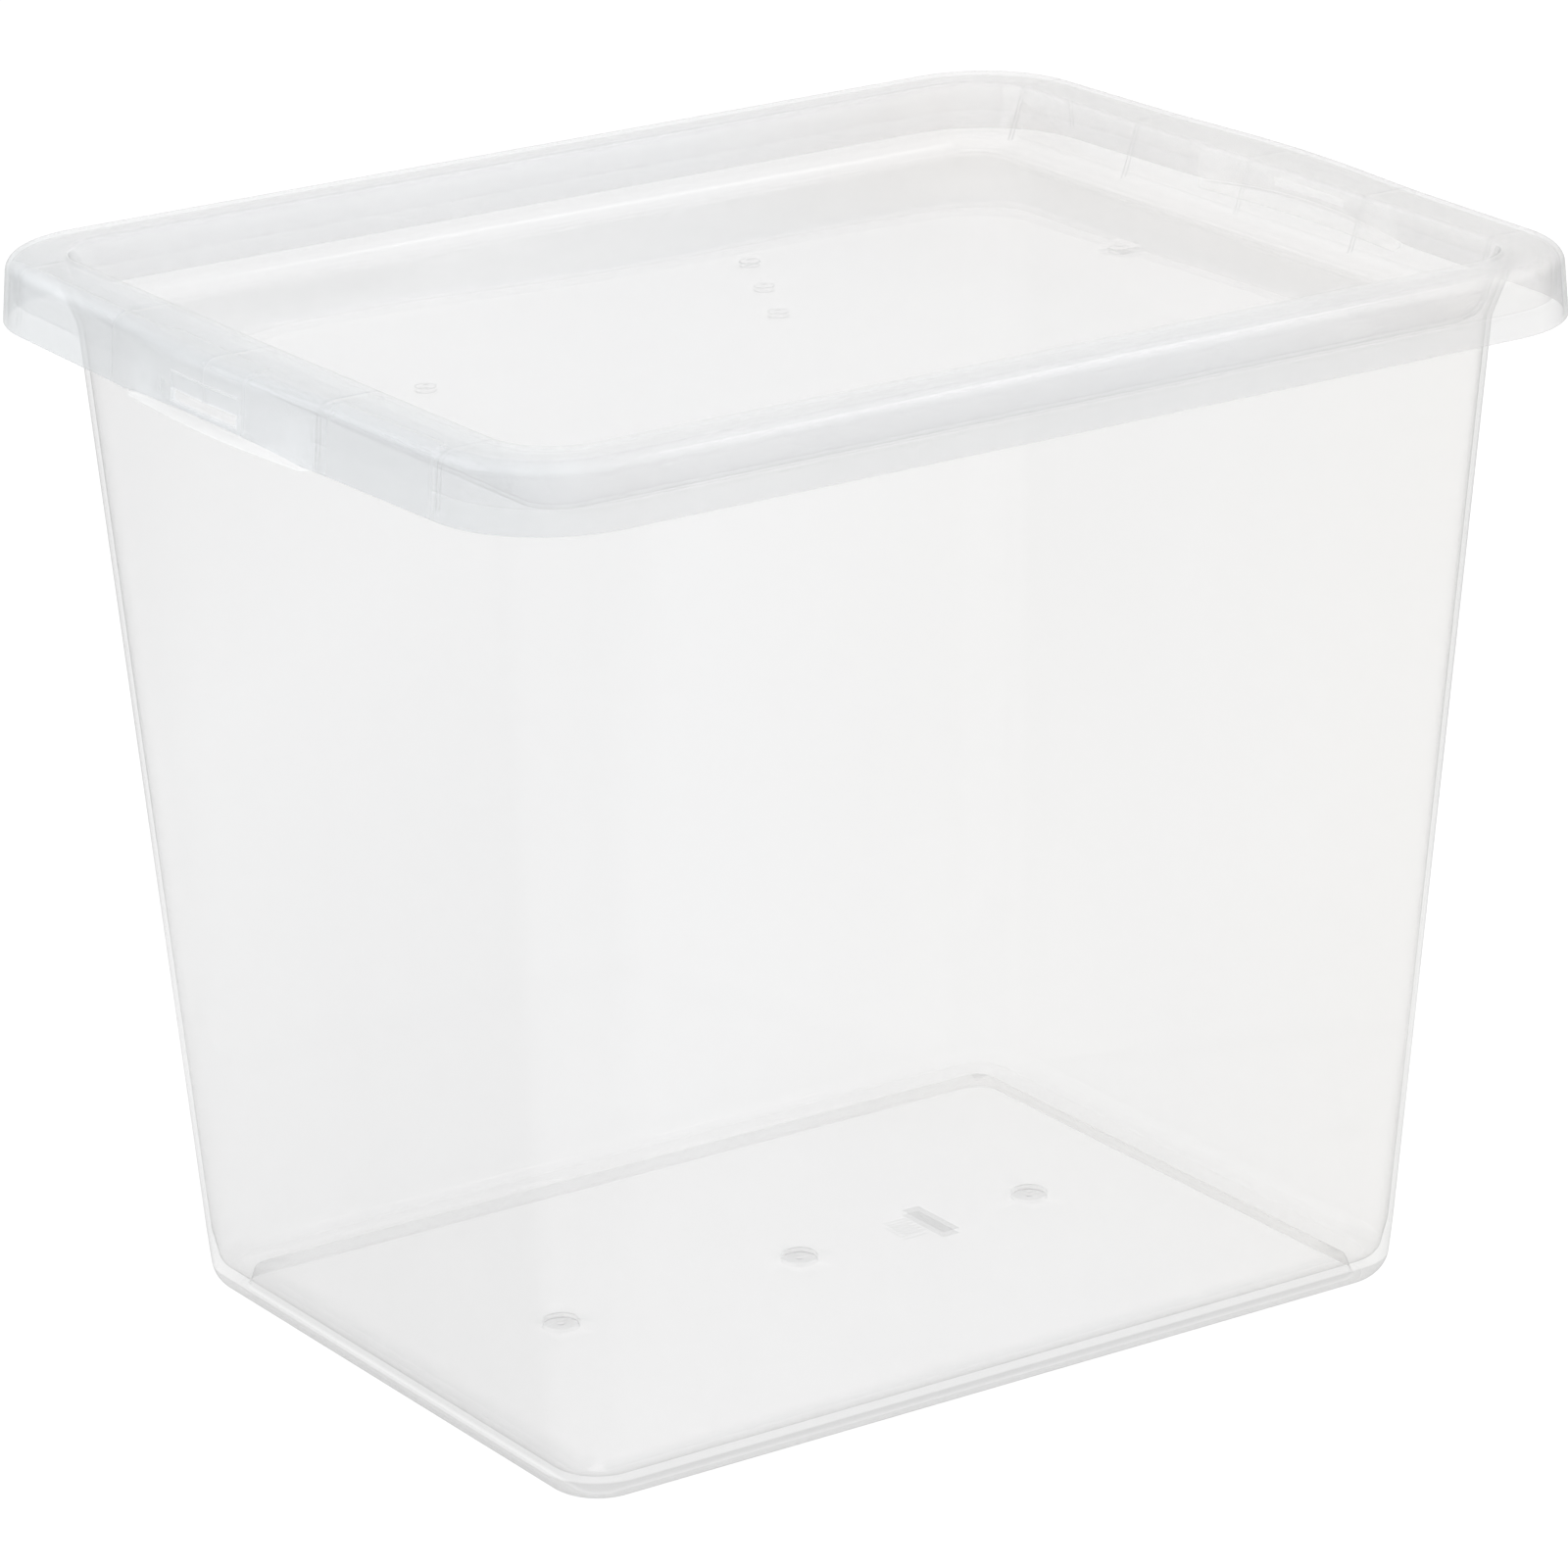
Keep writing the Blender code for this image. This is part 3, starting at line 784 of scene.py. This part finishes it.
def lid_inner_rings():
    """Lower face, from the skirt's edge back to under the panel."""
    rings = []
    for angle in quarter(3):                 # rounded lower edge, inside
        rings.append(hem(lid_pts(
            SKIRT_FLARE - LID_T + 0.5 - 0.5 * math.sin(angle),
            SKIRT_Z + 0.5 * (1.0 - math.cos(angle)))))
    for z in (470.2, 472.0, 474.4, 478.0, 482.0, 486.0):
        rings.append(hem(lid_pts(skirt_off(z) - LID_T, z)))
    inner_r = EDGE_R - LID_T
    for angle in quarter(10):
        rings.append(lid_pts(-LID_T - inner_r * (1.0 - math.cos(angle)),
                             TOP_Z - EDGE_R + inner_r * math.sin(angle)))
    rings += between(lid_pts(-EDGE_R, TOP_Z - LID_T),
                     rec_pts(EDGE_MID_OFF, TOP_Z - LID_T), (0.33, 0.66))
    small_r = REC_EDGE_R - LID_T + 1.0
    for i in range(6):
        angle = 0.5 * math.pi - (0.5 * math.pi - REC_LEAN) * i / 5
        rings.append(rec_pts(EDGE_MID_OFF + 0.6 - small_r * math.cos(angle),
                             TOP_Z - LID_T - small_r
                             + small_r * math.sin(angle)))
    for z in (490.0, 484.0, 479.0):
        rings.append(rec_pts(rec_wall(z) + LID_T / math.cos(REC_LEAN), z))
    for off, z, _ in reversed(fillet_rows(REC_FILLET + LID_T)):
        rings.append(rec_pts(off, z))
    return rings


def slot_cutter(sign):
    """Rounded slot through the skirt's end face at x of the given sign."""
    radius, steps, inset = 0.9, 6, 0.4
    section = []
    for sign_y, sign_z, start in ((1, 1, 0), (-1, 1, 90), (-1, -1, 180),
                                  (1, -1, 270)):
        for i in range(steps + 1):
            angle = math.radians(start + 90.0 * i / steps)
            section.append((sign_y * (WIN_HALF - inset - radius)
                            + radius * math.cos(angle),
                            0.5 * (WIN_Z0 + WIN_Z1)
                            + sign_z * (0.5 * (WIN_Z1 - WIN_Z0) - radius)
                            + radius * math.sin(angle)))
    count = len(section)
    end_x = LID_HALF_X + CROWN_MAX
    coords = [(sign * x, y, z) for x in (end_x - 3.1, end_x + 6.0)
              for y, z in section]
    faces = [tuple(range(count)), tuple(range(2 * count - 1, count - 1, -1))]
    faces += [(i, i + count, j + count, j)
              for i, j in closed_pairs(range(count))]
    return to_object("slot", np.array(coords), faces)


def build_lid():
    rings = lid_outer_rings() + lid_inner_rings()

    def panel_sheet(loop, level, profile, flip):
        return cap_patch(loop, lambda x, y: level + panel_warp(x, y),
                         LID_MARKS, spacing=9.0, rim_radius=MARK_RIM,
                         radii=MARK_RADII, profile=profile, flip=flip)
    lid = to_object("lid_shell", *join_parts([
        loft(rings),
        panel_sheet(rings[0], PANEL_Z, mark_top, True),
        panel_sheet(rings[-1], PANEL_Z - LID_T, mark_under, False)]))
    carve(lid, [slot_cutter(sign) for sign in (1.0, -1.0)])
    return lid


# ============================================================ shader nodes
VIEW_WAY = (0.554, 0.832, 0.0)          # the camera's level viewing direction


class Graph:
    """Adds nodes to one emptied node tree.

    Where an input is given, it may be a node (its first output is used),
    an output socket or a plain value; colours are (r, g, b).
    """

    def __init__(self, tree):
        self.tree = tree
        tree.nodes.clear()

    def add(self, kind, inputs=None, **settings):
        node = self.tree.nodes.new("ShaderNode" + kind)
        for name, value in settings.items():
            setattr(node, name, value)
        for key, value in (inputs or {}).items():
            socket = node.inputs[key]
            if isinstance(value, bpy.types.Node):
                value = value.outputs[0]
            if isinstance(value, bpy.types.NodeSocket):
                self.tree.links.new(value, socket)
            elif socket.type == "RGBA":
                socket.default_value = (*value, 1.0)
            else:
                socket.default_value = value
        return node

    def calc(self, operation, *values, clamp=False):
        return self.add("Math", dict(enumerate(values)), operation=operation,
                        use_clamp=clamp)

    def chain(self, operation, values):
        """Fold several values together with a two-sided operation."""
        return functools.reduce(lambda a, b: self.calc(operation, a, b), values)

    def scaled(self, value, by):
        return self.calc("MULTIPLY", value, by)

    def affine(self, value, gain, shift, clamp=False):
        return self.calc("MULTIPLY_ADD", value, gain, shift, clamp=clamp)

    def map_range(self, value, from_min=0.0, from_max=1.0, to_min=0.0,
                  to_max=1.0, **settings):
        return self.add("MapRange", {
            "Value": value, "From Min": from_min, "From Max": from_max,
            "To Min": to_min, "To Max": to_max}, **settings)

    def mix(self, data_type, factor, first, second):
        slot, output = {"FLOAT": (2, 0), "RGBA": (6, 2)}[data_type]
        node = self.add("Mix", {0: factor, slot: first, slot + 1: second},
                        data_type=data_type)
        return node.outputs[output]

    def mix_shader(self, factor, first, second):
        return self.add("MixShader", {0: factor, 1: first, 2: second})

    def attribute(self, name):
        return self.add("Attribute", attribute_name=name).outputs["Fac"]

    def along_view(self, vector):
        return self.add("VectorMath", {0: vector, 1: VIEW_WAY},
                        operation="DOT_PRODUCT").outputs["Value"]

    def noise(self, vector, scale, detail, roughness, stretch=None):
        if stretch:
            vector = self.add("Mapping", {"Vector": vector, "Scale": stretch})
        return self.add("TexNoise", {"Vector": vector, "Scale": scale,
                                     "Detail": detail, "Roughness": roughness})

    def times(self, colour, value):
        return self.add("VectorMath", {0: colour, "Scale": value},
                        operation="SCALE")

    def dim(self, colour, mask, loss):
        """Darken a colour by the share loss where the mask is 1."""
        return self.times(colour, self.affine(mask, gain=-loss, shift=1.0))

    def near(self, value, centre, half):
        """A peak of height 1 at a value, falling to 0 at centre +- half."""
        dist = self.calc("ABSOLUTE", self.calc("SUBTRACT", value, centre))
        return self.affine(dist, gain=-1.0 / half, shift=1.0, clamp=True)

    def inside(self, dist, limit, soft=0.0003):
        """1 where dist is below the limit, with a soft border."""
        return self.calc("MULTIPLY", self.calc("SUBTRACT", limit, dist),
                         1.0 / soft, clamp=True)

    def slab(self, value, low, high):
        centre = 0.5 * (low + high)
        dist = self.calc("ABSOLUTE", self.calc("SUBTRACT", value, centre))
        return self.inside(dist, 0.5 * (high - low))

    def box(self, xyz, low, high):
        return self.chain("MULTIPLY", [
            self.slab(*axis) for axis in zip(xyz, low, high)])

    def discs(self, xyz, centre, radii):
        """One mask per radius round a centre given in mm."""
        masks = []
        for radius in radii:
            dx, dy = (self.calc("SUBTRACT", xyz[axis], centre[axis] * MM)
                      for axis in (0, 1))
            square = self.calc("ADD", self.calc("MULTIPLY", dx, dx),
                               self.calc("MULTIPLY", dy, dy))
            masks.append(self.inside(self.calc("SQRT", square), radius))
        return masks


# =============================================================== materials
def lid_marks_and_painted_light(graph, xyz, colour, _backfacing):
    """Returns the colour with marks and painted shade, added haze and the
    strength of painted highlights.
    """
    x, y, z = xyz
    from_middle = graph.calc("ABSOLUTE", y)
    # painted shade along the fine break lines across the short ends: |y| and
    # weight
    crease = graph.chain("ADD", [
        graph.scaled(graph.near(from_middle, centre=centre, half=0.0010),
                     by=weight)
        for centre, weight in ((0.0, 0.7), (0.0872, 1.0), (0.1790, 1.2))])
    ends = graph.affine(graph.calc("ABSOLUTE", x), gain=400.0,
                        shift=-0.2490 * 400.0, clamp=True)
    over_hem = graph.calc("GREATER_THAN", z, 0.4735)
    ends = graph.calc("MULTIPLY", ends, over_hem)
    crease = graph.calc("MULTIPLY", crease, ends)
    colour = graph.dim(colour, crease, loss=0.130)
    # painted shade: a level line along the front skirt, at the height of the
    # tub's lip, whose lower edge shows through there
    line = graph.calc("MULTIPLY",
                      graph.near(z, centre=LIP_Z * MM, half=0.0008),
                      graph.calc("LESS_THAN", y, -0.2265))
    colour = graph.dim(colour, line, loss=0.035)
    # shallow round marks of the panel, modelled as dents, darkened by painted
    # shade, stronger in their outer ring
    low = graph.calc("LESS_THAN", z, 0.4725)
    spots = []
    for centre in LID_MARKS:
        whole, core = graph.discs(xyz, centre, radii=(0.0052, 0.0041))
        spots.append(graph.calc("SUBTRACT", whole, graph.scaled(core, by=0.6)))
    spots = graph.calc("MULTIPLY", graph.chain("MAXIMUM", spots), low)
    colour = graph.dim(colour, spots, loss=0.100)
    # painted highlights: bright edges round the slot and on the ridge above it,
    # lit by emission
    side = graph.calc("GREATER_THAN", graph.calc("ABSOLUTE", x), 0.290)
    within = graph.calc("LESS_THAN", from_middle, 0.0286)
    level = graph.chain("MAXIMUM", [
        graph.near(z, centre=WIN_Z0 * MM, half=0.0009),
        graph.near(z, centre=WIN_Z1 * MM, half=0.0009),
        graph.scaled(graph.near(z, centre=0.4881, half=0.0008), by=0.8)])
    upright = graph.calc(
        "MULTIPLY", graph.near(from_middle, centre=0.0279, half=0.0009),
        graph.slab(z, low=0.4747, high=0.4801))
    shine = graph.calc("MAXIMUM", graph.calc("MULTIPLY", level, within),
                       upright)
    shine = graph.calc("MULTIPLY", shine, side)
    return colour, graph.scaled(crease, by=0.03), graph.scaled(shine, by=0.07)


def tub_marks_and_painted_light(graph, xyz, colour, backfacing):
    """Returns the colour with marks and painted shade, added haze and painted
    glow strength.
    """
    _, y, z = xyz
    # two blank frosted pads in the floor, the smaller one ribbed along y
    bar = graph.box(xyz, low=(0.0702, -0.0173, 0.005),
                    high=(0.0800, 0.0173, 0.016))
    block = graph.box(xyz, low=(0.0535, -0.0100, 0.005),
                      high=(0.0670, 0.0085, 0.016))
    ribs = graph.near(graph.calc("FRACT", graph.scaled(y, by=300.0)),
                      centre=0.5, half=0.5)
    block = graph.calc("MULTIPLY", block, graph.scaled(ribs, by=0.7))
    low = graph.calc("LESS_THAN", z, 0.016)
    # painted shade over the three raised gate discs
    gates = graph.chain("MAXIMUM", [
        graph.discs(xyz, centre, radii=(0.0091,))[0] for centre in GATES])
    gates = graph.calc("MULTIPLY", gates, low)
    colour = graph.dim(colour, bar, loss=0.150)
    colour = graph.dim(colour, block, loss=0.110)
    colour = graph.dim(colour, gates, loss=0.085)
    haze = graph.scaled(graph.calc("ADD", bar, block), by=0.05)
    # painted shade on the rounded bottom edge, from outside, standing for the
    # dark gap under it
    outside = graph.calc("SUBTRACT", 1.0, backfacing)
    foot = graph.calc("MULTIPLY", graph.attribute("foot"), outside)
    band = graph.affine(z, gain=-1400.0, shift=0.0122 * 1400.0, clamp=True)
    line = graph.near(z, centre=0.0121, half=0.0008)
    dark = graph.calc("ADD", graph.scaled(band, by=0.17),
                      graph.scaled(line, by=0.10))
    dark = graph.calc("MULTIPLY", dark, foot)
    return graph.dim(colour, dark, loss=1.0), haze, graph.attribute("glow")


def clear_plastic(name, marks, left_light_tint, middle_tint, right_light_tint,
                  absorb_colour, absorb_density, haze, milk_colour, roughness,
                  shadow):
    """Moulded clear polypropylene: smooth, faintly milky, denser at edges, with
    painted shade and light.

    Each face is a sheet: part of the light goes straight through, part is
    scattered by the haze and part is mirrored by the gloss.
    """
    mat = bpy.data.materials.new(name)
    mat.use_nodes = True
    graph = Graph(mat.node_tree)
    coords = graph.add("TexCoord").outputs["Object"]
    xyz = graph.add("SeparateXYZ", {0: coords}).outputs[:3]
    backfacing = graph.add("NewGeometry").outputs["Backfacing"]

    cloud = graph.noise(coords, scale=7.0, detail=1.0, roughness=0.5)
    streaks = graph.noise(coords, scale=9.0, detail=1.0, roughness=0.55,
                          stretch=(1.0, 1.0, 0.18))
    scuffs = graph.noise(coords, scale=42.0, detail=3.0, roughness=0.7,
                         stretch=(1.0, 1.0, 6.0))

    # roughness: slow clouds, handling marks and painted satin
    rough = graph.affine(cloud, gain=0.014, shift=roughness - 0.006)
    scuffs = graph.calc("SUBTRACT", scuffs, 0.60, clamp=True)
    rough = graph.calc("ADD", rough, graph.scaled(scuffs, by=0.15))
    rough = graph.calc("ADD", rough,
                       graph.scaled(graph.attribute("satin"), by=0.30))

    # tint, with painted light: cooler at the left and warmer at the right,
    # standing for coloured light mirrored there, with slow fill streaks
    left = graph.affine(xyz[0], gain=-14.0, shift=-3.3, clamp=True)
    right = graph.affine(xyz[0], gain=6.5, shift=-0.50, clamp=True)
    colour = graph.mix("RGBA", right, middle_tint, right_light_tint)
    colour = graph.mix("RGBA", left, colour, left_light_tint)
    colour = graph.times(colour, graph.affine(streaks, gain=0.008, shift=0.996))
    # painted shade, and painted light where the layer is below zero
    colour = graph.dim(colour, graph.attribute("painted_shading"), loss=1.0)
    # marks, painted shade and painted highlights
    colour, marks_haze, glow = marks(graph, xyz, colour, backfacing)

    # a clear sheet with some milky scattering, to both sides alike
    clear = graph.add("BsdfTransparent", {"Color": colour})
    milk = graph.mix_shader(
        0.5, graph.add("BsdfTranslucent", {"Color": milk_colour}),
        graph.add("BsdfDiffuse", {"Color": milk_colour}))
    amount = graph.calc("ADD", graph.attribute("bulk"),
                        graph.scaled(cloud, by=haze * 0.3))
    amount = graph.calc("ADD", amount, haze * 0.85, clamp=True)
    amount = graph.calc("ADD", amount, marks_haze, clamp=True)
    sheet = graph.mix_shader(amount, clear, milk)

    # gloss: the same share of light at both faces of a sheet
    normal = graph.add("Bump", {"Strength": 0.04, "Distance": 0.0006,
                                "Height": cloud})
    ior = graph.map_range(backfacing, to_min=1.49, to_max=1.0 / 1.49)
    fresnel = graph.add("Fresnel", {"IOR": ior, "Normal": normal})
    gloss = graph.add("BsdfAnisotropic", {"Roughness": rough,
                                          "Normal": normal})
    glossy = graph.mix_shader(fresnel, sheet, gloss)

    # light on its way to a surface behind the sheet is only dimmed
    is_shadow = graph.add("LightPath").outputs["Is Shadow Ray"]
    plain = graph.add("BsdfTransparent", {"Color": (shadow,) * 3})
    seen = graph.mix_shader(is_shadow, glossy, plain)
    # painted light: emission for the painted highlights and glowing grips
    emission = graph.add("Emission", {"Strength": glow})
    absorption = graph.add("VolumeAbsorption", {"Color": absorb_colour,
                                                "Density": absorb_density})
    graph.add("OutputMaterial", {
        "Surface": graph.add("AddShader", {0: seen, 1: emission}),
        "Volume": absorption})
    return mat


def floor_material():
    """Pale paper: evenly lit where it is looked at, dimmer as a light."""
    mat = bpy.data.materials.new("studio_floor")
    mat.use_nodes = True
    graph = Graph(mat.node_tree)
    path = graph.add("LightPath").outputs
    position = graph.add("NewGeometry").outputs["Position"]
    # reflections of the floor dim away from a line across the view
    away = graph.calc("ABSOLUTE", graph.calc(
        "SUBTRACT", graph.along_view(position), 0.30))
    loss = graph.map_range(away, from_max=0.40, to_max=0.24)
    glint = graph.scaled(
        graph.calc("MULTIPLY", path["Is Glossy Ray"], loss), by=-1.0)
    spill = graph.scaled(path["Is Diffuse Ray"], by=-0.30)
    full_power = 0.925
    power = graph.calc("ADD", graph.calc("ADD", glint, spill), full_power)
    graph.add("OutputMaterial", {"Surface": graph.add("AddShader", {
        0: graph.add("BsdfDiffuse", {"Color": (0.15, 0.15, 0.15)}),
        1: graph.add("Emission", {"Strength": power})})})
    return mat


# =================================================================== build
tub = build_tub()
dress(tub,
      {"bulk": tub_bulk, "foot": tub_foot, "painted_shading": tub_painted_shading,
       "glow": tub_glow, "satin": tub_satin},
      clear_plastic("clear_pp_tub", tub_marks_and_painted_light,
                    left_light_tint=(0.975, 0.974, 0.975),
                    middle_tint=(0.9745, 0.974, 0.9745),
                    right_light_tint=(0.975, 0.972, 0.968),
                    absorb_colour=(0.62, 0.626, 0.61), absorb_density=5.0,
                    haze=0.030, milk_colour=(0.95, 0.955, 0.955),
                    roughness=0.030, shadow=0.95))
lid = build_lid()
dress(lid,
      {"bulk": lid_bulk, "painted_shading": lid_painted_shading, "satin": lid_satin},
      clear_plastic("clear_pp_lid", lid_marks_and_painted_light,
                    left_light_tint=(0.976, 0.989, 0.999),
                    middle_tint=(0.991, 0.991, 0.992),
                    right_light_tint=(0.993, 0.987, 0.984),
                    absorb_colour=(0.61, 0.64, 0.65), absorb_density=9.0,
                    haze=0.055, milk_colour=(0.955, 0.960, 0.962),
                    roughness=0.016, shadow=0.92))

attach(tub, "bin")
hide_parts("bin_body")
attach(lid, "lid")
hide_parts("lid")

# =================================================================== stage
scene = bpy.context.scene
bpy.ops.mesh.primitive_plane_add(size=40.0, location=(0.0, 0.0, -0.0003))
ground = bpy.context.object
ground.name = "studio_floor"
ground.data.materials.append(floor_material())


def build_world():
    """Even studio light: brighter overhead and on the far side."""
    world = bpy.data.worlds.new("studio")
    scene.world = world
    world.use_nodes = True
    graph = Graph(world.node_tree)
    way = graph.add("TexCoord").outputs["Generated"]
    axes = graph.add("SeparateXYZ", {0: way}).outputs
    soft = {"interpolation_type": "SMOOTHSTEP"}
    overhead = graph.map_range(axes[2], from_max=0.85, **soft)
    far = graph.map_range(graph.along_view(way), from_min=-0.5, from_max=0.8,
                          to_min=0.66, to_max=1.0, **soft)
    overhead_power, seen_power = 1.08, 0.97
    power = graph.mix("FLOAT", overhead, far, overhead_power)
    is_camera = graph.add("LightPath").outputs["Is Camera Ray"]
    power = graph.mix("FLOAT", is_camera, power, seen_power)
    left_colour, right_colour = (0.95, 0.98, 1.0), (1.0, 0.985, 0.98)
    side = graph.map_range(axes[0], from_min=-1.0, **soft)
    colour = graph.mix("RGBA", side, left_colour, right_colour)
    graph.add("OutputWorld", {"Surface": graph.add(
        "Background", {"Color": colour, "Strength": power})})


def softbox(name, azimuth, elevation, tilt, dist, size, radiance, colour):
    """A softbox seen only as a highlight in the gloss; angles in degrees."""
    azimuth, elevation, tilt = map(math.radians, (azimuth, elevation, tilt))
    way = Vector((math.cos(azimuth) * math.cos(elevation),
                  math.sin(azimuth) * math.cos(elevation),
                  math.sin(elevation)))
    left = Vector((-math.sin(azimuth), math.cos(azimuth), 0.0))
    rise = way.cross(-left)
    tall = rise * math.cos(tilt) - left * math.sin(tilt)
    data = bpy.data.lights.new(name, "AREA")
    data.shape, data.size, data.size_y = "RECTANGLE", size[0], size[1]
    data.energy = radiance * math.pi * size[0] * size[1]
    data.color = colour
    lamp = bpy.data.objects.new(name, data)
    scene.collection.objects.link(lamp)
    turn = Matrix((tall.cross(way), tall, way)).transposed()
    target = Vector((0.0, 0.0, 0.48))
    lamp.matrix_world = Matrix.Translation(target + way * dist) @ turn.to_4x4()
    lamp.visible_camera = False
    lamp.visible_diffuse = False
    lamp.visible_transmission = False


def build_camera(location, yaw, pitch, roll, lens):
    """Camera looking down by pitch, with angles in radians."""
    forward = Vector((-math.sin(yaw) * math.cos(pitch),
                      math.cos(yaw) * math.cos(pitch), -math.sin(pitch)))
    right = forward.cross(Vector((0, 0, 1))).normalized()
    up = right.cross(forward)
    rolled_right = right * math.cos(roll) + up * math.sin(roll)
    rolled_up = up * math.cos(roll) - right * math.sin(roll)
    data = bpy.data.cameras.new("camera")
    data.sensor_width = 36.0
    data.lens = lens
    data.clip_end = 100.0
    camera = bpy.data.objects.new("camera", data)
    scene.collection.objects.link(camera)
    turn = Matrix((rolled_right, rolled_up, -forward)).transposed()
    camera.matrix_world = Matrix.Translation(location) @ turn.to_4x4()
    scene.camera = camera


build_world()
softbox("rim_light", azimuth=146.3, elevation=29.7, tilt=22.6, dist=3.0,
        size=(2.67, 2.18), radiance=0.5, colour=(0.98, 0.99, 1.0))
softbox("top_light", azimuth=-24.0, elevation=53.0, tilt=0.0, dist=3.0,
        size=(1.2, 0.34), radiance=1.5, colour=(1.0, 1.0, 1.0))
build_camera(location=(-1.86573, -2.79679, 1.40015), yaw=-0.587379,
             pitch=0.330906, roll=-0.018823, lens=177.77079)

scene.view_settings.view_transform = "Standard"
scene.view_settings.look = "None"
scene.cycles.max_bounces = 7
scene.cycles.transmission_bounces = 6
scene.cycles.glossy_bounces = 4
scene.cycles.diffuse_bounces = 3
scene.cycles.transparent_max_bounces = 40
